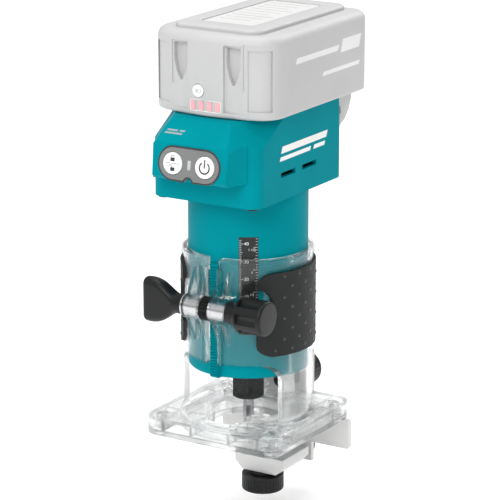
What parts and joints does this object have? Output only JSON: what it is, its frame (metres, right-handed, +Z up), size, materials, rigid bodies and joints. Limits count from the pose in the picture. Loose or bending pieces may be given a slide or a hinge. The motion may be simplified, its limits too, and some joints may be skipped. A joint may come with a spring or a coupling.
{
  "type": "trim router",
  "caption": "Cordless trim router with a clear base on a rack-and-pinion depth adjuster, an edge guide with a roller, and a slide-on battery pack.",
  "frame": {"origin": "on the spindle's axis, at the centre of the bit opening in the underside of the sole plate", "axes": "+Z up along the spindle, -Y to the front with the control panel, +X to the right with the adjusting knob"},
  "size_m": [0.084, 0.1269, 0.271],
  "materials": {
    "clear_plastic": "clear polished polycarbonate",
    "lamp_lens": "clear",
    "grip_rubber": "matt, small dimples",
    "teal_plastic": "smooth satin",
    "black_plastic": "satin",
    "black_steel": "black oxide",
    "bright_steel": "turned",
    "tool_steel": "ground",
    "brass": "machined",
    "lamination_steel": "laminated",
    "copper": "enamelled wire",
    "dark_plastic": "moulded",
    "scale_print": "satin, with white graduations",
    "panel_grey": "satin",
    "panel_light": "frosted",
    "white_button": "satin",
    "circuit_board": "coated",
    "pale_grey_plastic": "fine texture",
    "cell_wrap": "film over metal can",
    "nickel": "rolled strip",
    "pink_lamp": "clear tinted",
    "label": "printed film",
    "zinc_plate": "fine satin"
  },
  "bodies": {
    "base": {"trimmer_base": "clear_plastic", "sole_plate": "clear_plastic", "sole_screws": "bright_steel", "grip_left": "grip_rubber", "grip_right": "grip_rubber", "ear_bushes": "bright_steel", "clamp_washer": "bright_steel", "clamp_insert": "black_steel"},
    "adjuster": {"adjusting_shaft": "bright_steel", "pinion": "black_steel", "adjusting_knob": "black_plastic"},
    "wing_nut": {"clamp_wing_nut": "black_plastic"},
    "motor": {"motor_housing": "teal_plastic", "rack": "black_steel", "depth_scale": "scale_print", "lower_bearing": "bright_steel", "upper_bearing": "bright_steel", "bearing_plate": "dark_plastic", "stator_core": "lamination_steel", "stator_windings": "copper", "lamp_lenses": "lamp_lens", "shaft_lock_spring": "bright_steel", "head_housing": "teal_plastic", "nose_cover": "teal_plastic", "control_panel": "panel_grey", "panel_lamp": "panel_light", "head_screws": "black_steel", "controller_board": "circuit_board", "terminal_block": "black_plastic", "terminal_blades": "brass"},
    "spindle": {"spindle": "bright_steel", "collet_cone": "bright_steel", "router_bit": "tool_steel", "rotor_core": "lamination_steel", "cooling_fan": "dark_plastic"},
    "collet_nut": {"collet_nut": "black_steel"},
    "shaft_lock": {"shaft_lock": "black_plastic"},
    "lock_button": {"lock_button": "white_button"},
    "power_button": {"power_button": "white_button"},
    "speed_dial": {"speed_dial": "black_plastic"},
    "battery": {"battery_case": "pale_grey_plastic", "battery_rail_cover": "pale_grey_plastic", "battery_cells": "cell_wrap", "cell_straps": "nickel", "battery_terminals": "brass", "charge_lamps": "pink_lamp", "battery_label": "label", "battery_screws": "bright_steel", "latch_spring": "bright_steel"},
    "gauge_button": {"gauge_button": "white_button"},
    "latch": {"latch_button": "black_plastic"},
    "guide": {"guide_plate": "zinc_plate", "guide_fence": "zinc_plate", "fence_screws": "bright_steel"},
    "clamp_knob": {"clamp_knob": "black_plastic"},
    "guide_arm": {"guide_arm": "zinc_plate", "roller_axle": "bright_steel"},
    "guide_roller": {"guide_roller": "black_plastic"},
    "guide_screw": {"guide_screw": "black_plastic"}
  },
  "joints": [
    {"name": "motor_height", "type": "slide", "parent": "base", "child": "motor", "axis": [0, 0, 1], "range_m": [-0.015, 0.025]},
    {"name": "pinion_turn", "type": "hinge", "parent": "base", "child": "adjuster", "pos_m": [0, -0.04115, 0.0773], "axis": [1, 0, 0], "range_deg": [-144, 240]},
    {"name": "wing_nut_turn", "type": "hinge", "parent": "base", "child": "wing_nut", "pos_m": [-0.0145, -0.04115, 0.0773], "axis": [1, 0, 0], "range_deg": [-180, 0]},
    {"name": "spindle_turn", "type": "hinge", "parent": "motor", "child": "spindle", "pos_m": [0, 0, 0.03], "axis": [0, 0, 1], "continuous": true},
    {"name": "collet_nut_turn", "type": "hinge", "parent": "spindle", "child": "collet_nut", "pos_m": [0, 0, 0.027], "axis": [0, 0, 1], "range_deg": [-360, 0]},
    {"name": "shaft_lock_press", "type": "slide", "parent": "motor", "child": "shaft_lock", "axis": [0.9063, -0.4226, 0], "range_m": [0, 0.0025], "stiffness_N_per_m": 600, "springref_m": -0.001, "deforming": ["shaft_lock_spring"]},
    {"name": "lock_button_press", "type": "slide", "parent": "motor", "child": "lock_button", "axis": [0, 0.9903, -0.1392], "range_m": [0, 0.0008], "stiffness_N_per_m": 800, "springref_m": -0.0005},
    {"name": "power_button_press", "type": "slide", "parent": "motor", "child": "power_button", "axis": [0, 0.9903, -0.1392], "range_m": [0, 0.0008], "stiffness_N_per_m": 800, "springref_m": -0.0005},
    {"name": "speed_dial_turn", "type": "hinge", "parent": "motor", "child": "speed_dial", "pos_m": [0, 0.0415, 0.152], "axis": [1, 0, 0], "range_deg": [0, 288]},
    {"name": "battery_slide", "type": "slide", "parent": "motor", "child": "battery", "axis": [0, 1, 0], "range_m": [0, 0.075]},
    {"name": "gauge_button_press", "type": "slide", "parent": "battery", "child": "gauge_button", "axis": [0, 1, 0], "range_m": [0, 0.0008], "stiffness_N_per_m": 800, "springref_m": -0.0005},
    {"name": "latch_press", "type": "slide", "parent": "battery", "child": "latch", "axis": [0, 0, 1], "range_m": [0, 0.003], "stiffness_N_per_m": 500, "springref_m": -0.002, "deforming": ["latch_spring"]},
    {"name": "guide_height", "type": "slide", "parent": "base", "child": "guide", "axis": [0, 0, 1], "range_m": [-0.012, 0]},
    {"name": "clamp_knob_turn", "type": "hinge", "parent": "base", "child": "clamp_knob", "pos_m": [0, 0.057, 0.016], "axis": [0, 1, 0], "range_deg": [-180, 0]},
    {"name": "guide_screw_turn", "type": "hinge", "parent": "guide", "child": "guide_screw", "pos_m": [0, 0.053, -0.0265], "axis": [0, 1, 0], "range_deg": [-730, 2175]},
    {"name": "guide_arm_slide", "type": "slide", "parent": "guide", "child": "guide_arm", "axis": [0, 1, 0], "range_m": [-0.006, 0.002]},
    {"name": "guide_roller_spin", "type": "hinge", "parent": "guide_arm", "child": "guide_roller", "pos_m": [0, 0.0155, -0.037], "axis": [0, 0, 1], "continuous": true}
  ],
  "couplings": [
    {"joint": "pinion_turn", "follows": "motor_height", "rad_per_m": 166.67},
    {"joint": "guide_screw_turn", "follows": "guide_arm_slide", "rad_per_m": -6283.2}
  ]
}
